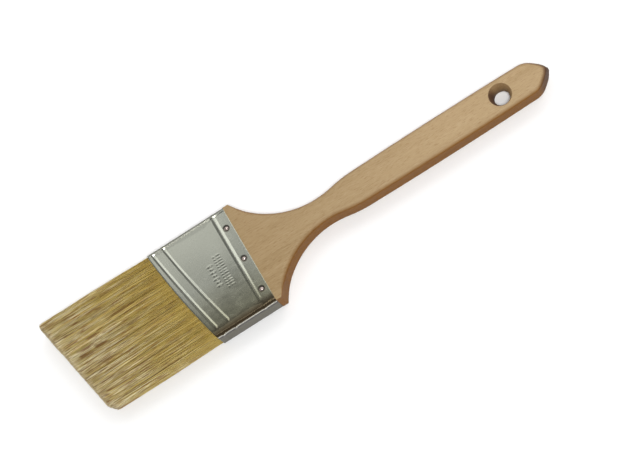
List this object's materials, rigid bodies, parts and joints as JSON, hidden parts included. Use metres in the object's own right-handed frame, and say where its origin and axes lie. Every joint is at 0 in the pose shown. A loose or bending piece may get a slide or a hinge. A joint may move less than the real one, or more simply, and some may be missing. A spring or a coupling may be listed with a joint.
{
  "type": "paint brush",
  "caption": "Angled flat paint brush: beech beavertail handle with hanging hole, nailed oblique steel ferrule, natural bristle trimmed to an oblique tip.",
  "frame": {"origin": "under the middle of the brush, on the surface that its back lies on", "axes": "+X from the bristles to the pointed tail of the handle, +Y to the long side of the oblique ferrule, +Z out of the front face"},
  "size_m": [0.319, 0.0644, 0.0175],
  "materials": {
    "beech": "sanded, unvarnished",
    "plug_wood": "sawn",
    "steel_sheet": "satin, pressed beads",
    "nail_steel": "bright",
    "resin": "cast",
    "bristle": "natural hog bristle"
  },
  "bodies": {
    "brush": {"handle": "beech", "ferrule": "steel_sheet", "front_nail_1": "nail_steel", "front_nail_2": "nail_steel", "front_nail_3": "nail_steel", "back_nail_1": "nail_steel", "back_nail_2": "nail_steel", "back_nail_3": "nail_steel", "resin_setting": "resin", "front_plug": "plug_wood", "back_plug": "plug_wood", "front_row_held": "bristle", "middle_row_held": "bristle", "back_row_held": "bristle"},
    "bristle_pack": {"front_row_free": "bristle", "middle_row_free": "bristle", "back_row_free": "bristle"}
  },
  "joints": [
    {"name": "bristle_flex", "type": "hinge", "parent": "brush", "child": "bristle_pack", "pos_m": [-0.08, 0, 0.00875], "axis": [-0.1827, 0.9832, 0], "range_deg": [-25, 25], "stiffness_Nm_per_rad": 0.86}
  ]
}
